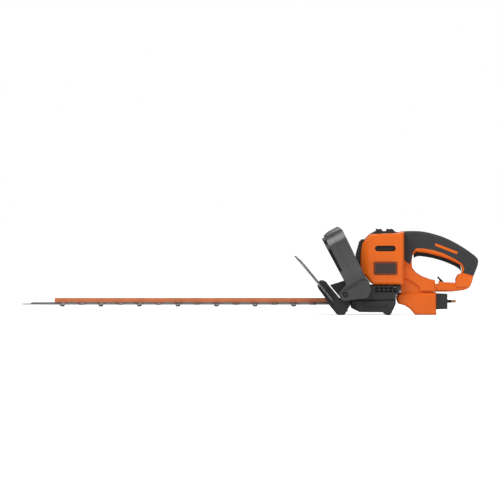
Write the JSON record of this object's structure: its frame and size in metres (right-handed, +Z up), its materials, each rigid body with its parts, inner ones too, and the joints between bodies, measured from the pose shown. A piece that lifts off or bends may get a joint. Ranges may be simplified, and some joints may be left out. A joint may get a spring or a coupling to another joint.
{
  "type": "hedge trimmer",
  "caption": "Mains hedge trimmer with double-action toothed blades, bail front handle with switch bar, hand guard and looped rear handle with trigger.",
  "frame": {"origin": "on the plane that the trimmer rests on, midway between the blade tip and the end of the rear handle, and midway across", "axes": "+X from the blade tip towards the rear handle, +Z up, the housing halves meet on Y = 0"},
  "size_m": [0.912, 0.192, 0.1746],
  "materials": {
    "housing_orange": "satin moulded plastic, fine spark texture",
    "soft_grip": "matt soft moulding",
    "charcoal_plastic": "satin moulded plastic",
    "black_plastic": "fine textured moulding",
    "badge_plate": "matt plate",
    "smoked_clear": "smoked transparent moulding",
    "bar_orange": "orange coated",
    "blade_steel": "ground and oiled",
    "dark_steel": "blackened",
    "bright_steel": "machined",
    "brass": "turned",
    "copper": "enamelled wire",
    "inner_black": "moulded",
    "plunger_orange": "moulded"
  },
  "bodies": {
    "body": {"housing_left": "housing_orange", "housing_right": "housing_orange", "grip_left": "soft_grip", "grip_right": "soft_grip", "front_handle_front_shell": "charcoal_plastic", "front_handle_rear_shell": "charcoal_plastic", "front_cover": "black_plastic", "top_vent_cap": "black_plastic", "gear_case_upper": "black_plastic", "gear_case_lower": "black_plastic", "guard_base": "black_plastic", "inlet_block": "black_plastic", "cord_hook": "black_plastic", "air_baffle": "black_plastic", "badge_left": "badge_plate", "hand_guard": "smoked_clear", "support_bar": "bar_orange", "blade_bolt_1": "dark_steel", "blade_bolt_2": "dark_steel", "blade_bolt_3": "dark_steel", "blade_bolt_4": "dark_steel", "blade_bolt_5": "dark_steel", "blade_bolt_6": "dark_steel", "blade_bolt_7": "dark_steel", "stator_core": "dark_steel", "upper_bearing": "bright_steel", "lower_bearing": "bright_steel", "trigger_spring": "bright_steel", "front_bar_spring": "bright_steel", "handle_screw_left": "bright_steel", "handle_screw_right": "bright_steel", "guard_screw_left": "bright_steel", "guard_screw_right": "bright_steel", "inlet_pin_left": "brass", "inlet_pin_right": "brass", "upper_bush": "brass", "lower_bush": "brass", "field_coil_left": "copper", "field_coil_right": "copper", "rear_switch": "inner_black", "front_switch": "inner_black", "capacitor": "inner_black", "mains_lead": "inner_black", "brush_left": "inner_black", "brush_right": "inner_black"},
    "armature": {"armature_shaft": "bright_steel", "armature_core": "dark_steel", "commutator": "copper", "fan": "inner_black", "pinion": "bright_steel"},
    "gear_train": {"drive_gear": "bright_steel", "upper_eccentric": "bright_steel", "lower_eccentric": "bright_steel", "gear_axle": "bright_steel"},
    "upper_blade": {"upper_blade": "blade_steel"},
    "lower_blade": {"lower_blade": "blade_steel"},
    "trigger": {"trigger": "black_plastic"},
    "rear_plunger": {"rear_switch_plunger": "plunger_orange"},
    "front_bar": {"front_switch_bar": "black_plastic"},
    "front_plunger": {"front_switch_plunger": "plunger_orange"}
  },
  "joints": [
    {"name": "armature_spin", "type": "hinge", "parent": "body", "child": "armature", "pos_m": [0.269, 0, 0.1], "axis": [0, 0, 1], "range_deg": [-540, 540]},
    {"name": "gear_spin", "type": "hinge", "parent": "body", "child": "gear_train", "pos_m": [0.234, 0, 0.03], "axis": [0, 0, 1], "range_deg": [-90.5, 90.5]},
    {"name": "upper_blade_slide", "type": "slide", "parent": "body", "child": "upper_blade", "axis": [1, 0, 0], "range_m": [-0.00801, 0.00801]},
    {"name": "lower_blade_slide", "type": "slide", "parent": "body", "child": "lower_blade", "axis": [1, 0, 0], "range_m": [-0.00801, 0.00801]},
    {"name": "trigger_press", "type": "hinge", "parent": "body", "child": "trigger", "pos_m": [0.334, 0, 0.124], "axis": [0, -1, 0], "range_deg": [0, 3.5], "stiffness_Nm_per_rad": 0.6, "springref_deg": -11.46, "deforming": ["trigger_spring"]},
    {"name": "rear_plunger_slide", "type": "slide", "parent": "body", "child": "rear_plunger", "axis": [0, 0, 1], "range_m": [0, 0.0029]},
    {"name": "front_bar_squeeze", "type": "hinge", "parent": "body", "child": "front_bar", "pos_m": [0.18005, 0, 0.09264], "axis": [0, 1, 0], "range_deg": [0, 4], "stiffness_Nm_per_rad": 0.8, "springref_deg": -11.46, "deforming": ["front_bar_spring"]},
    {"name": "front_plunger_slide", "type": "slide", "parent": "body", "child": "front_plunger", "axis": [0.8878, 0, 0.4602], "range_m": [0, 0.00445]}
  ],
  "couplings": [
    {"joint": "gear_spin", "follows": "armature_spin", "ratio": -0.16667},
    {"joint": "upper_blade_slide", "follows": "armature_spin", "m_per_rad": 0.0008488},
    {"joint": "lower_blade_slide", "follows": "armature_spin", "m_per_rad": -0.0008488},
    {"joint": "rear_plunger_slide", "follows": "trigger_press", "m_per_rad": 0.047},
    {"joint": "front_plunger_slide", "follows": "front_bar_squeeze", "m_per_rad": 0.063}
  ]
}
